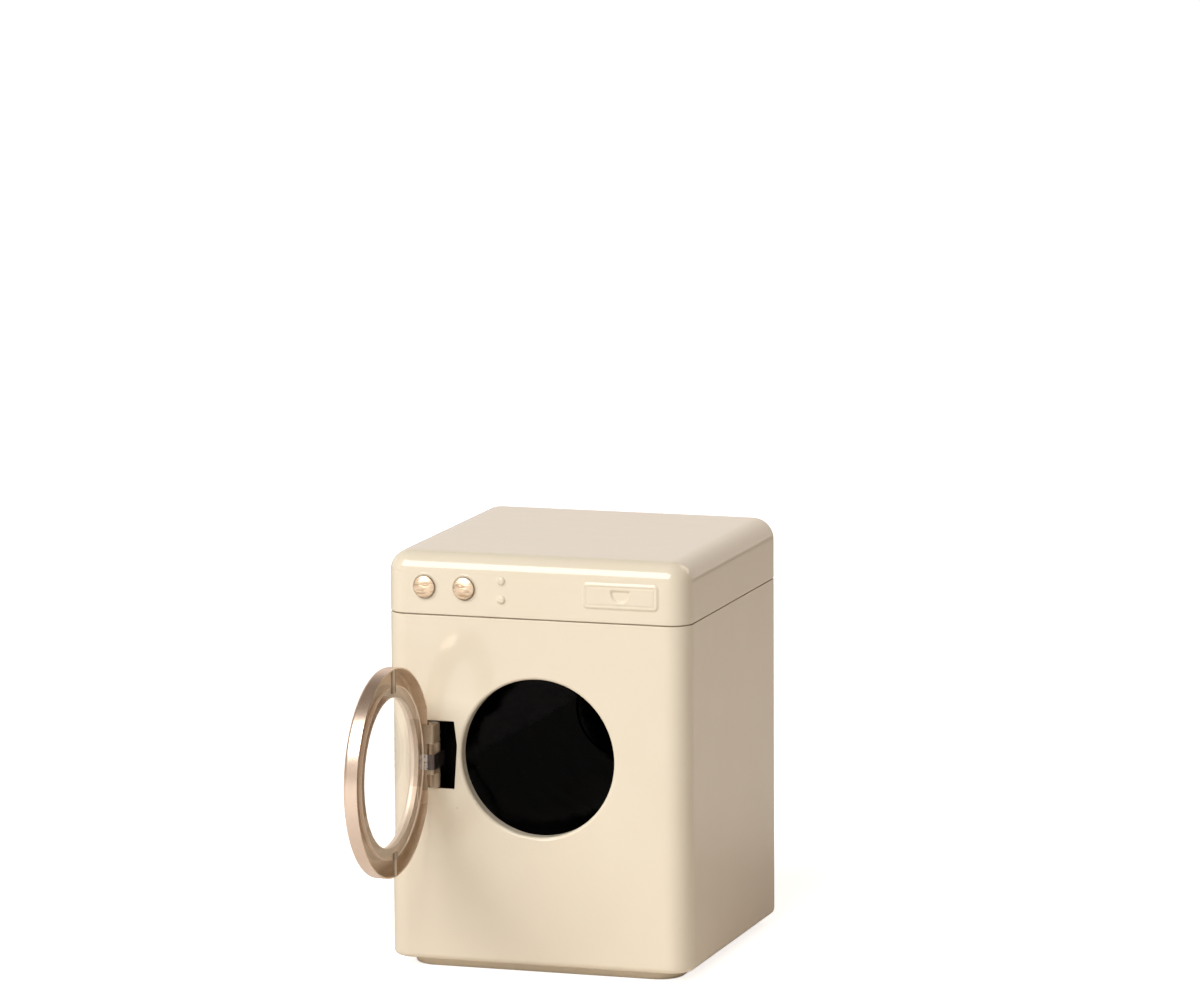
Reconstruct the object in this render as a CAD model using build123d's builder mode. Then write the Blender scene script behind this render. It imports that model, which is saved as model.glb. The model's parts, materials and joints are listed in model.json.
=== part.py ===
from build123d import *
from math import cos, hypot, radians, sin
import os

os.makedirs("parts", exist_ok=True)

# Toy washing machine of enamelled sheet steel, in millimetres: +Z up, front on the -Y side,
# origin on the floor under the middle of the cabinet. The door is drawn open, its rest position.

# Cabinet
body_w = 95.0
body_d = 96.5
corner_r = 7.0
sheet = 0.6
body_h = 105.5
curl_r = 1.8
lid_h = 18.55
lid_edge_r = 6.6
seam_gap = 0.35
neck_h = 6.0
neck_root = 1.2
slip_fit = 0.08
hem_r = 0.2
lock_seam_x = -28.0
lock_seam_w = 5.0
lock_groove_w = 0.4
lock_groove_depth = 0.2

# Plinth
foot_h = 3.0
foot_inset = 5.0
foot_corner_r = 8.0
foot_edge_r = 0.9
foot_fit = 0.1
flange_fit = 0.3

# Loading hole and its collar
opening_x = 0.4
opening_z = 66.4
opening_r = 24.0
collar_depth = 4.0
lip_r = 1.0
lip_back_r = 0.4

# Fascia pressings
drawer_x = 26.9
drawer_below_top = 10.55
drawer_w = 23.2
drawer_h = 7.5
drawer_corner_r = 1.3
emboss_h = 0.55
emboss_edge_r = 0.4
grip_w = 6.4
grip_h = 3.6
grip_depth = 0.6
grip_draft = 12
light_x = -10.5
light_pitch = 5.7
light_below_top = 10.3
light_r = 1.35
light_h = 0.75
seat_r = 3.8
seat_w = 0.6
seat_h = 0.22

# Knobs
knob_x = (-34.7, -22.2)
knob_below_top = 10.2
knob_r = 3.35
knob_rim = 0.6
knob_crown = 1.1
knob_gap = 0.12
shank_r = 1.2
shank_clearance = 0.08
retainer_r = 2.6
retainer_fit = 0.02
retainer_t = 0.5
tail_r = 1.6
tail_t = 0.4

# Hinge: knuckle heights run from the top down, door and cabinet in turn
pin_past_ring = 4.7
pin_inset = 0.15
pin_r = 1.05
pin_fit = 0.05
pin_end = 0.1
leaf_t = 0.45
leaf_bend_r = 0.25
knuckle_wall = 0.5
hinge_top_above_centre = 9.7
knuckle_heights = (6.0, 5.1, 4.2, 4.7)
knuckle_gap = 0.24
roll_gap = 0.14
door_roll_end = 34
cabinet_roll_end = 172
leaf_depth = 2.6
bracket_corner_gap = 0.3
slot_clearance = 0.3
slot_past_knuckle = 0.6
slot_bulge = 0.9
slot_bulge_above = 2.7
slot_corner_r = 0.5
slot_bulge_r = 6.0
slot_edge_r = 0.25

# Door
open_angle = 91.3
ring_past_opening = 7.4
ring_flat_cut = 3.7
ring_depth = 4.5
ring_sheet = 0.45
ring_edge_r = 1.2
ring_corner_r = 1.5
ring_face_w = 8.9
window_flange = 2.9
window_lip_r = 0.8
window_overlap = 3.5
window_t = 1.1
window_bevel = 0.15
tab_w = 2.6
tab_reach = 2.0
door_gap = 0.35

# Strap over the hinge
strap_t = 0.3
strap_w = 4.6
strap_above_centre = -1.7
strap_tail = 3.4
strap_lift = 0.1
strap_past_leaf = 0.7
strap_bend_r = 0.45

# Drum
drum_r = 34.0
drum_sheet = 0.5
drum_len = 81.5
neck_clearance = 0.6
neck_overlap = 1.25
neck_len = 3.0
shoulder_len = 4.5
shoulder_r = 2.5
end_skirt = 5.0
end_fit = 0.05
dish_r = 14.0
dish_h = 1.2
bush_r = 3.2
bush_flange_r = 5.0
bush_flange_t = 0.5
bush_tail = 0.8
spindle_r = 2.0
spindle_fit = 0.06
spindle_head_r = 4.4
spindle_head_t = 1.4
washer_r = 5.2
washer_t = 0.4
washer_bore_clearance = 0.1
washer_gap = 0.12
spacer_r = 4.0
backing_r = 5.0
backing_t = 0.5
clench_r = 3.4
clench_t = 0.9

# Levels and places worked out from the sizes above
seam_z = foot_h + body_h
lid_z = seam_z + seam_gap
top_z = lid_z + lid_h
front_y = -body_d / 2
ring_r = opening_r + ring_past_opening
ring_flat = ring_r - ring_flat_cut
window_hole_r = ring_r - ring_face_w
window_r = window_hole_r + window_overlap
pin_x = opening_x - ring_flat - pin_past_ring
pin_y = front_y + pin_inset
knuckle_r = pin_r + pin_fit + knuckle_wall
hinge_top = opening_z + hinge_top_above_centre
hinge_h = sum(knuckle_heights)
hinge_bottom = hinge_top - hinge_h
pin_to_ring = opening_x - pin_x
rim_from_pin = -pin_inset - door_gap
wall_inside = pin_to_ring - ring_flat + ring_sheet
strap_z = opening_z + strap_above_centre - strap_w / 2

front = Plane.XZ.offset(-front_y)
opening_axis = Axis((opening_x, 0, opening_z), (0, 1, 0))
opening_section = Plane(origin=(opening_x, 0, opening_z), x_dir=(0, 1, 0), z_dir=(1, 0, 0))

# Directions of the open door: away from the pin in the door's plane, and towards its inner side
swing = radians(open_angle)
door_out = Vector(cos(swing), -sin(swing), 0)
door_in = Vector(sin(swing), cos(swing), 0)
ring_centre = Vector(pin_x, pin_y, opening_z) + door_out * pin_to_ring + door_in * rim_from_pin
rim_plane = Plane(origin=ring_centre, x_dir=door_out, z_dir=-door_in)


def hinge_plane(z):
    """Level plane through the pin, X away from the pin along the open door, Y to its inner side."""
    return Plane(origin=(pin_x, pin_y, z), x_dir=door_out, z_dir=(0, 0, 1))


def dome_shoulder(radius, height):
    """Height at half the radius of a dome that is a cap of a sphere."""
    sphere_r = (radius**2 + height**2) / (2 * height)
    return height - sphere_r + (sphere_r**2 - radius**2 / 4) ** 0.5


def knuckle_spans(first):
    """Bottom and height of every second knuckle from the top, less the running gap."""
    spans = []
    top = hinge_top
    for number, height in enumerate(knuckle_heights):
        if number % 2 == first:
            spans.append((top - height + knuckle_gap / 2, height - knuckle_gap))
        top -= height
    return spans


# Cabinet body: a shell open at the top, with a flange left round the bottom
with BuildPart() as body_shell:
    with BuildSketch(Plane.XY.offset(foot_h)):
        RectangleRounded(body_w, body_d, corner_r)
    extrude(amount=body_h)
    fillet(body_shell.faces().sort_by(Axis.Z)[0].edges(), curl_r)
    offset(amount=-sheet, openings=body_shell.faces().sort_by(Axis.Z)[-1])
    fillet(body_shell.faces().sort_by(Axis.Z)[-1].outer_wire().edges(), hem_r)
    with BuildSketch(Plane.XY.offset(foot_h)):
        RectangleRounded(
            body_w - 2 * (foot_inset - foot_fit),
            body_d - 2 * (foot_inset - foot_fit),
            foot_corner_r + foot_fit,
        )
    extrude(amount=2 * sheet, mode=Mode.SUBTRACT)

    # Neck that the lid slips over, joined to the wall by a short joggle
    neck_out = sheet + slip_fit
    neck_in = neck_out + sheet
    for bottom, height, out in ((seam_z - neck_root, neck_root, sheet / 2), (seam_z, neck_h, neck_out)):
        with BuildSketch(Plane.XY.offset(bottom)):
            RectangleRounded(body_w - 2 * out, body_d - 2 * out, corner_r - out)
            RectangleRounded(body_w - 2 * neck_in, body_d - 2 * neck_in, corner_r - neck_in, mode=Mode.SUBTRACT)
        extrude(amount=height)

    # Loading hole with its collar turned inward
    with BuildSketch(front):
        with Locations((opening_x, opening_z)):
            Circle(opening_r + sheet)
    extrude(amount=-collar_depth)
    with BuildSketch(front):
        with Locations((opening_x, opening_z)):
            Circle(opening_r)
    extrude(amount=-collar_depth, mode=Mode.SUBTRACT)
    round_edges = body_shell.edges().filter_by(GeomType.CIRCLE)
    lip = round_edges.filter_by(lambda e: abs(e.radius - opening_r) < sheet / 4).sort_by(Axis.Y)[0]
    fillet(lip, lip_r)
    round_edges = body_shell.edges().filter_by(GeomType.CIRCLE)
    bend = round_edges.filter_by(lambda e: abs(e.radius - opening_r - sheet) < sheet / 4).sort_by(Axis.Y)[0]
    fillet(bend, lip_back_r)

    # Slot that the door's hinge leaf swings through
    leaf_swing = hypot(wall_inside + leaf_t, knuckle_r)
    slot_left = pin_x - knuckle_r - slot_past_knuckle
    slot_right = pin_x + leaf_swing + slot_clearance
    slot_top = hinge_top + slot_clearance
    slot_bottom = hinge_bottom - slot_clearance
    with BuildSketch(front) as slot:
        with BuildLine():
            Polyline(
                (slot_left, slot_top),
                (slot_right, slot_top),
                (slot_right + slot_bulge, opening_z + slot_bulge_above),
                (slot_right, slot_bottom),
                (slot_left, slot_bottom),
                close=True,
            )
        make_face()
        bulge = slot.vertices().sort_by(Axis.X)[-1]
        corners = slot.vertices().sort_by(Axis.X)[:-1]
        fillet(bulge, slot_bulge_r)
        fillet(corners, slot_corner_r)
    extrude(amount=-2 * sheet, mode=Mode.SUBTRACT)
    slot_edges = body_shell.edges().filter_by_position(Axis.Y, front_y, front_y)
    slot_edges = slot_edges.filter_by_position(Axis.Z, slot_bottom, slot_top)
    fillet(slot_edges.filter_by_position(Axis.X, slot_left, slot_right + slot_bulge), slot_edge_r)

    # Lock seam of the back: folded strip inside, fine groove outside
    seam_bottom = foot_h + curl_r
    seam_len = seam_z - neck_root - seam_bottom
    with BuildSketch(Plane.XY.offset(seam_bottom)):
        with Locations((lock_seam_x, body_d / 2 - 1.5 * sheet)):
            Rectangle(lock_seam_w, 2 * sheet)
    extrude(amount=seam_len)
    with BuildSketch(Plane.XY.offset(seam_bottom)):
        with Locations((lock_seam_x - lock_seam_w / 2, body_d / 2)):
            Rectangle(lock_groove_w, 2 * lock_groove_depth)
    extrude(amount=seam_len, mode=Mode.SUBTRACT)

    # Hole for the drum's spindle
    with BuildSketch(front):
        with Locations((opening_x, opening_z)):
            Circle(spindle_r + washer_bore_clearance)
    extrude(amount=-2 * body_d, mode=Mode.SUBTRACT)

# Lid: pressed pan with the fascia on its front skirt
drawer_z = top_z - drawer_below_top
light_z = top_z - light_below_top
knob_z = top_z - knob_below_top
with BuildPart() as top_lid:
    with BuildSketch(Plane.XY.offset(lid_z)):
        RectangleRounded(body_w, body_d, corner_r)
    extrude(amount=lid_h)
    fillet(top_lid.faces().sort_by(Axis.Z)[-1].edges(), lid_edge_r)
    offset(amount=-sheet, openings=top_lid.faces().sort_by(Axis.Z)[0])
    fillet(top_lid.faces().sort_by(Axis.Z)[0].outer_wire().edges(), hem_r)

    # Soap drawer: raised plate with a half-moon grip pressed back into it
    with BuildSketch(front.offset(-sheet / 2)):
        with Locations((drawer_x, drawer_z)):
            RectangleRounded(drawer_w, drawer_h, drawer_corner_r)
    extrude(amount=sheet / 2 + emboss_h)
    fillet(top_lid.faces().sort_by(Axis.Y)[0].edges(), emboss_edge_r)
    with BuildSketch(front.offset(emboss_h)):
        with BuildLine(Plane((drawer_x, drawer_z))):
            Line((-grip_w / 2, grip_h / 2), (grip_w / 2, grip_h / 2))
            ThreePointArc((grip_w / 2, grip_h / 2), (0, -grip_h / 2), (-grip_w / 2, grip_h / 2))
        make_face()
    extrude(amount=-grip_depth, taper=grip_draft, mode=Mode.SUBTRACT)

    # Two lights: low domes
    for step in (-0.5, 0.5):
        light = Plane(origin=(light_x, front_y, light_z + step * light_pitch), x_dir=(0, -1, 0), z_dir=(1, 0, 0))
        with BuildSketch(light):
            with BuildLine():
                ThreePointArc((light_h, 0), (dome_shoulder(light_r, light_h), -light_r / 2), (0, -light_r))
                Polyline((0, -light_r), (-sheet / 2, -light_r), (-sheet / 2, 0), (light_h, 0))
            make_face()
        revolve(axis=Axis(light.origin, (0, 1, 0)))

    # Seat round each knob and the hole for its shank
    for x in knob_x:
        with BuildSketch(front.offset(-sheet / 2)):
            with Locations((x, knob_z)):
                Circle(seat_r + seat_w)
                Circle(seat_r, mode=Mode.SUBTRACT)
        extrude(amount=sheet / 2 + seat_h)
        with BuildSketch(front):
            with Locations((x, knob_z)):
                Circle(shank_r + shank_clearance)
        extrude(amount=-2 * sheet, mode=Mode.SUBTRACT)

# Plinth: a tray let down through the bottom of the body, its flange lying on the body's flange
foot_w = body_w - 2 * foot_inset
foot_d = body_d - 2 * foot_inset
flange_inset = curl_r + flange_fit
with BuildPart() as base_pan:
    with BuildSketch():
        RectangleRounded(foot_w, foot_d, foot_corner_r)
    extrude(amount=foot_h + 2 * sheet)
    fillet(base_pan.faces().sort_by(Axis.Z)[0].edges(), foot_edge_r)
    offset(amount=-sheet, openings=base_pan.faces().sort_by(Axis.Z)[-1])
    with BuildSketch(Plane.XY.offset(foot_h + sheet)):
        RectangleRounded(
            body_w - 2 * flange_inset, body_d - 2 * flange_inset, foot_corner_r + foot_inset - flange_inset
        )
        RectangleRounded(foot_w - sheet, foot_d - sheet, foot_corner_r - sheet / 2, mode=Mode.SUBTRACT)
    extrude(amount=sheet)

# Hinge bracket: plate on the back of the front panel, with its knuckles standing in the slot.
# Every knuckle is rolled sheet, so a fine gap stays where the roll comes round to its own leaf.
plate_front = sheet - pin_inset
bracket_reach = pin_x + body_w / 2 - corner_r - bracket_corner_gap
with BuildPart() as hinge_bracket:
    cabinet_spans = knuckle_spans(1)
    with BuildSketch(Plane((pin_x, pin_y, hinge_bottom))):
        with Locations((-(bracket_reach + knuckle_r + knuckle_gap) / 2, plate_front + leaf_t / 2)):
            Rectangle(bracket_reach - knuckle_r - knuckle_gap, leaf_t)
    extrude(amount=hinge_h)
    for bottom, height in cabinet_spans:
        with BuildSketch(Plane((pin_x, pin_y, bottom))):
            Circle(knuckle_r)
            with Locations((-(knuckle_r + knuckle_gap + pin_r) / 2, plate_front + leaf_t / 2)):
                Rectangle(knuckle_r + 2 * knuckle_gap, leaf_t)
            Circle(pin_r + pin_fit, mode=Mode.SUBTRACT)
            with PolarLocations(pin_r + knuckle_wall / 2, 1, start_angle=cabinet_roll_end):
                Rectangle(2 * knuckle_wall, roll_gap, mode=Mode.SUBTRACT)
        extrude(amount=height)

with BuildPart() as hinge_pin:
    with BuildSketch(Plane((pin_x, pin_y, hinge_bottom - pin_end))):
        Circle(pin_r)
    extrude(amount=hinge_h + 2 * pin_end)
    chamfer(hinge_pin.edges().filter_by(GeomType.CIRCLE), pin_end)

# Door hinge leaf: a plate inside the ring's flat wall, with tongues that roll into its knuckles
leaf_front = rim_from_pin - leaf_depth
leaf_outer = wall_inside + leaf_t
with BuildPart() as door_hinge_leaf:
    with BuildSketch(hinge_plane(hinge_bottom)):
        with Locations((wall_inside + leaf_t / 2, rim_from_pin - leaf_depth / 2)):
            Rectangle(leaf_t, leaf_depth)
    extrude(amount=hinge_h)
    for bottom, height in knuckle_spans(0):
        with BuildSketch(hinge_plane(bottom)) as tongue:
            with BuildLine():
                FilletPolyline(
                    (wall_inside, rim_from_pin - leaf_t),
                    (wall_inside, knuckle_r - leaf_t),
                    (0, knuckle_r - leaf_t),
                    radius=leaf_bend_r,
                )
                Line((0, knuckle_r - leaf_t), (0, knuckle_r))
                FilletPolyline(
                    (0, knuckle_r),
                    (leaf_outer, knuckle_r),
                    (leaf_outer, rim_from_pin - leaf_t),
                    radius=leaf_bend_r + leaf_t,
                )
                Line((leaf_outer, rim_from_pin - leaf_t), (wall_inside, rim_from_pin - leaf_t))
            make_face()
            Circle(knuckle_r)
            Circle(pin_r + pin_fit, mode=Mode.SUBTRACT)
            with PolarLocations(pin_r + knuckle_wall / 2, 1, start_angle=door_roll_end):
                Rectangle(2 * knuckle_wall, roll_gap, mode=Mode.SUBTRACT)
        extrude(amount=height)

# Strap: from inside the ring, round the leaf's bend and on past the knuckles into the slot
strap_in = leaf_outer
strap_out = leaf_outer + strap_t
strap_back = knuckle_r + strap_lift
with BuildPart() as hinge_strap:
    with BuildSketch(hinge_plane(strap_z)):
        with BuildLine():
            FilletPolyline(
                (strap_in, leaf_front - strap_past_leaf),
                (strap_in, strap_back),
                (-strap_tail, strap_back),
                radius=strap_bend_r,
            )
            Line((-strap_tail, strap_back), (-strap_tail, strap_back + strap_t))
            FilletPolyline(
                (-strap_tail, strap_back + strap_t),
                (strap_out, strap_back + strap_t),
                (strap_out, leaf_front - strap_past_leaf),
                radius=strap_bend_r + strap_t,
            )
            Line((strap_out, leaf_front - strap_past_leaf), (strap_in, leaf_front - strap_past_leaf))
        make_face()
    extrude(amount=strap_w)

# Door ring: a channel open towards the cabinet, flattened beside the hinge
flange_back = ring_depth - window_flange
with BuildPart() as door_ring:
    with BuildSketch(rim_plane) as outline:
        Circle(ring_r)
        with Locations((-ring_flat - ring_r, 0)):
            Rectangle(2 * ring_r, 3 * ring_r, mode=Mode.SUBTRACT)
        fillet(outline.vertices(), ring_corner_r)
    extrude(amount=ring_depth)
    fillet(door_ring.faces().sort_by(Axis(ring_centre, -door_in))[-1].edges(), ring_edge_r)
    offset(amount=-ring_sheet, openings=door_ring.faces().sort_by(Axis(ring_centre, -door_in))[0])
    with BuildSketch(rim_plane.offset(flange_back)):
        Circle(window_hole_r + ring_sheet)
    extrude(amount=window_flange)
    with BuildSketch(rim_plane.offset(flange_back)):
        Circle(window_hole_r)
    extrude(amount=ring_depth, mode=Mode.SUBTRACT)
    hole_edges = door_ring.edges().filter_by(GeomType.CIRCLE)
    hole_edges = hole_edges.filter_by(lambda e: abs(e.radius - window_hole_r) < ring_sheet / 4)
    fillet(hole_edges.sort_by(Axis(ring_centre, -door_in))[-1], window_lip_r)

    # Two tabs turned in over the window
    tab_inner = window_r - tab_reach
    tab_outer = ring_r - ring_sheet / 2
    with BuildSketch(rim_plane):
        for side in (-1, 1):
            with Locations((0, side * (tab_inner + tab_outer) / 2)):
                Rectangle(tab_w, tab_outer - tab_inner)
    extrude(amount=ring_sheet)

with BuildPart() as door_window:
    with BuildSketch(rim_plane.offset(flange_back - window_t)):
        Circle(window_r)
    extrude(amount=window_t)
    chamfer(door_window.edges().filter_by(GeomType.CIRCLE), window_bevel)

# Drum barrel: a tube drawn in at the front, its neck round the collar
collar_end = front_y + collar_depth
neck_front = collar_end - neck_overlap
neck_outside = opening_r + sheet + neck_clearance + drum_sheet
drum_back = neck_front + drum_len
with BuildPart() as drum_barrel:
    with BuildSketch(opening_section) as drum_profile:
        with BuildLine():
            Polyline(
                (neck_front, 0),
                (neck_front, neck_outside),
                (neck_front + neck_len, neck_outside),
                (neck_front + neck_len + shoulder_len, drum_r),
                (drum_back, drum_r),
                (drum_back, 0),
                close=True,
            )
        make_face()
        shoulder = drum_profile.vertices().filter_by(
            lambda v: neck_front + neck_len / 2 < v.Y < neck_front + neck_len + 2 * shoulder_len
        )
        fillet(shoulder, shoulder_r)
    revolve(axis=opening_axis)
    offset(
        amount=-drum_sheet,
        openings=[drum_barrel.faces().sort_by(Axis.Y)[0], drum_barrel.faces().sort_by(Axis.Y)[-1]],
    )

# Drum end: a dished disc with a skirt that slips over the barrel
end_in = drum_r + end_fit
with BuildPart() as drum_end:
    with BuildSketch(opening_section):
        with BuildLine():
            Polyline(
                (drum_back - end_skirt, end_in),
                (drum_back, end_in),
                (drum_back, dish_r + dish_h),
                (drum_back - dish_h, dish_r),
                (drum_back - dish_h, bush_r + spindle_fit / 2),
                (drum_back - dish_h + drum_sheet, bush_r + spindle_fit / 2),
                (drum_back - dish_h + drum_sheet, dish_r),
                (drum_back + drum_sheet, dish_r + dish_h),
                (drum_back + drum_sheet, end_in + drum_sheet),
                (drum_back - end_skirt, end_in + drum_sheet),
                close=True,
            )
        make_face()
    revolve(axis=opening_axis)

# Bush in the drum end, turning on the spindle
hub_front = drum_back - dish_h
hub_back = hub_front + drum_sheet
with BuildPart() as drum_bush:
    with BuildSketch(opening_section):
        with BuildLine():
            Polyline(
                (hub_front - bush_flange_t, spindle_r + spindle_fit),
                (hub_front - bush_flange_t, bush_flange_r),
                (hub_front, bush_flange_r),
                (hub_front, bush_r),
                (hub_back + bush_tail, bush_r),
                (hub_back + bush_tail, spindle_r + spindle_fit),
                close=True,
            )
        make_face()
    revolve(axis=opening_axis)

# Spindle: a shouldered rivet from inside the drum through the back of the cabinet
head_back = hub_front - bush_flange_t - 2 * washer_gap - washer_t
rear_washer = hub_back + bush_tail + washer_gap
spacer_front = rear_washer + washer_t
back_inside = body_d / 2 - sheet
back_outside = body_d / 2
clench_front = back_outside + backing_t
with BuildPart() as drum_spindle:
    with BuildSketch(opening_section):
        with BuildLine():
            Line((head_back - spindle_head_t, 0), (clench_front + clench_t, 0))
            ThreePointArc(
                (clench_front + clench_t, 0),
                (clench_front + dome_shoulder(clench_r, clench_t), clench_r / 2),
                (clench_front, clench_r),
            )
            Polyline(
                (clench_front, clench_r),
                (clench_front, spindle_r),
                (head_back, spindle_r),
                (head_back, spindle_head_r),
            )
            ThreePointArc(
                (head_back, spindle_head_r),
                (head_back - dome_shoulder(spindle_head_r, spindle_head_t), spindle_head_r / 2),
                (head_back - spindle_head_t, 0),
            )
        make_face()
    revolve(axis=opening_axis)


def opening_plane(y):
    """Upright plane across the drum's axis at y, facing the back of the cabinet."""
    return Plane(origin=(opening_x, y, opening_z), x_dir=(-1, 0, 0), z_dir=(0, 1, 0))


with BuildPart() as spindle_washers:
    for y in (head_back + washer_gap, rear_washer):
        with BuildSketch(opening_plane(y)):
            Circle(washer_r)
            Circle(spindle_r + washer_bore_clearance, mode=Mode.SUBTRACT)
        extrude(amount=washer_t)

with BuildPart() as spindle_spacer:
    with BuildSketch(opening_plane(spacer_front)):
        Circle(spacer_r)
        Circle(spindle_r + washer_bore_clearance, mode=Mode.SUBTRACT)
    extrude(amount=back_inside - spacer_front)

with BuildPart() as spindle_backing:
    with BuildSketch(opening_plane(back_outside)):
        Circle(backing_r)
        Circle(spindle_r + washer_bore_clearance, mode=Mode.SUBTRACT)
    extrude(amount=backing_t)

# Knobs: domed studs, each turning in the fascia and kept by a retainer behind it
knobs = []
knob_back = front_y - knob_gap
retainer_front = front_y + sheet + knob_gap
tail_front = retainer_front + retainer_t
for side, x in zip(("left", "right"), knob_x):
    section = Plane(origin=(x, 0, knob_z), x_dir=(0, 1, 0), z_dir=(1, 0, 0))
    with BuildPart() as knob:
        with BuildSketch(section):
            with BuildLine():
                ThreePointArc(
                    (knob_back - knob_rim - knob_crown, 0),
                    (knob_back - knob_rim - dome_shoulder(knob_r, knob_crown), knob_r / 2),
                    (knob_back - knob_rim, knob_r),
                )
                Polyline(
                    (knob_back - knob_rim, knob_r),
                    (knob_back, knob_r),
                    (knob_back, shank_r),
                    (tail_front, shank_r),
                    (tail_front, tail_r),
                    (tail_front + tail_t, tail_r),
                    (tail_front + tail_t, 0),
                    (knob_back - knob_rim - knob_crown, 0),
                )
            make_face()
        revolve(axis=Axis((x, 0, knob_z), (0, 1, 0)))
    with BuildPart() as retainer:
        with BuildSketch(Plane(origin=(x, retainer_front, knob_z), x_dir=(-1, 0, 0), z_dir=(0, 1, 0))):
            Circle(retainer_r)
            Circle(shank_r + retainer_fit, mode=Mode.SUBTRACT)
        extrude(amount=retainer_t)
    knobs += [(f"knob_{side}", knob), (f"knob_{side}_retainer", retainer)]

pieces = [
    ("body_shell", body_shell),
    ("top_lid", top_lid),
    ("base_pan", base_pan),
    ("hinge_bracket", hinge_bracket),
    ("hinge_pin", hinge_pin),
    ("door_hinge_leaf", door_hinge_leaf),
    ("hinge_strap", hinge_strap),
    ("door_ring", door_ring),
    ("door_window", door_window),
    ("drum_barrel", drum_barrel),
    ("drum_end", drum_end),
    ("drum_bush", drum_bush),
    ("drum_spindle", drum_spindle),
    ("spindle_washers", spindle_washers),
    ("spindle_spacer", spindle_spacer),
    ("spindle_backing", spindle_backing),
] + knobs
for name, piece in pieces:
    piece.part.label = name
    export_step(piece.part, f"parts/{name}.step")
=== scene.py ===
import json
from math import atan2, cos, hypot, pi, radians, sin, sqrt

import bpy
from bpy.props import FloatProperty, FloatVectorProperty, PointerProperty
from mathutils import Matrix, Vector, noise


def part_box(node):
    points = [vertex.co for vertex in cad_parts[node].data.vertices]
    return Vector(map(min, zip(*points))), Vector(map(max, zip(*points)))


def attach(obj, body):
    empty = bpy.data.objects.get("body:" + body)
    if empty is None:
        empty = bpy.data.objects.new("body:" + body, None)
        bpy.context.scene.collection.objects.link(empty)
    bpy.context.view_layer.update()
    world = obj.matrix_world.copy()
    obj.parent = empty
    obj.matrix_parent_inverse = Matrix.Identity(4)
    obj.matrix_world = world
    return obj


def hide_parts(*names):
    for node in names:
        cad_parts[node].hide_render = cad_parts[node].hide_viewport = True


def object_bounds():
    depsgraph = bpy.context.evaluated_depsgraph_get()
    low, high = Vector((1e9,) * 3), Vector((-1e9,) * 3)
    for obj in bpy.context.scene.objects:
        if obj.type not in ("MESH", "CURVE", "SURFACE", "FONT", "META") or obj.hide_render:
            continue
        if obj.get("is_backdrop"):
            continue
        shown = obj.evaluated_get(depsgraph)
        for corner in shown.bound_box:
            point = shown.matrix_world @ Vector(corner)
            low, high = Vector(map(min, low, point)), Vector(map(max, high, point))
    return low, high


bl_info = {
    "name": "Toy washing machine",
    "version": (1, 0, 0),
    "blender": (4, 5, 0),
    "location": "3D View > Sidebar > Washing machine",
    "description": "Dresses a toy washing machine in enamel, plating and glass",
    "category": "Object",
}

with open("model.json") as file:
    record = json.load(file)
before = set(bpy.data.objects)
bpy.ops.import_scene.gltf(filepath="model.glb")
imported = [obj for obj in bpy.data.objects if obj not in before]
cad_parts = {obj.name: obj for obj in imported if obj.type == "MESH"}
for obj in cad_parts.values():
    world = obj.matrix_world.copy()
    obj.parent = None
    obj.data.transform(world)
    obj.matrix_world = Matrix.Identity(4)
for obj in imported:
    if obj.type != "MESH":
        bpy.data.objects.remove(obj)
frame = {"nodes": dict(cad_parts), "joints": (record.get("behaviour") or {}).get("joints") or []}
cad_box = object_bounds()

MM = 0.001
JOINTS = {joint["name"]: joint for joint in frame["joints"]}

# Sizes that the lid, the knobs and the door share with the solids, in metres
LID_LOW, LID_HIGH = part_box("top_lid")
SHEET = 0.6 * MM
CORNER_R = 7.0 * MM
LID_EDGE_R = 6.6 * MM
SEAM_GAP = 0.35 * MM
SEAM_LOW = LID_LOW.z - SEAM_GAP
LEFT_KNOB = Vector(JOINTS["left_knob_turn"]["pos_m"])
RIGHT_KNOB = Vector(JOINTS["right_knob_turn"]["pos_m"])
KNOB_R = (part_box("knob_left")[1].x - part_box("knob_left")[0].x) / 2
SHANK_R = 1.2 * MM
SHANK_HOLE_R = SHANK_R + 0.08 * MM
HINGE = Vector(JOINTS["door_hinge"]["pos_m"])
SWING = radians(JOINTS["door_hinge"]["range_deg"][1])
DOOR_OUT = Vector((cos(SWING), -sin(SWING), 0))
DOOR_IN = Vector((sin(SWING), cos(SWING), 0))
OPENING = Vector(JOINTS["drum_spin"]["pos_m"])


def hinge_box(node):
    """Lowest and highest corners of a CAD node in the open door's own axes, from the hinge pin."""
    places = [vertex.co - HINGE for vertex in frame["nodes"][node].data.vertices]
    local = [(place.dot(DOOR_OUT), place.dot(DOOR_IN), place.z) for place in places]
    return [min(values) for values in zip(*local)], [max(values) for values in zip(*local)]


# Ring of the door, in the open door's axes: middle of its rim plane, radii and depth
RING_LOW, RING_HIGH = hinge_box("door_ring")
RING_R = (RING_HIGH[2] - RING_LOW[2]) / 2
RING_FLAT = RING_HIGH[0] - RING_LOW[0] - RING_R
RING_DEPTH = RING_HIGH[1] - RING_LOW[1]
RING_FACE_W = 8.9 * MM
RING_HOLE_R = RING_R - RING_FACE_W
RING_MIDDLE = HINGE + DOOR_OUT * (RING_HIGH[0] - RING_R) + DOOR_IN * RING_HIGH[1]
RING_MIDDLE.z = OPENING.z
PANE_LOW, PANE_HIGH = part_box("door_window")
PANE_R = (PANE_HIGH.z - PANE_LOW.z) / 2


def offset(label, about, default, **limits):
    """A place to either side of a middle, in metres."""
    return FloatProperty(
        name=label, description=about, default=default, unit="LENGTH", subtype="DISTANCE", **limits
    )


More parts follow.
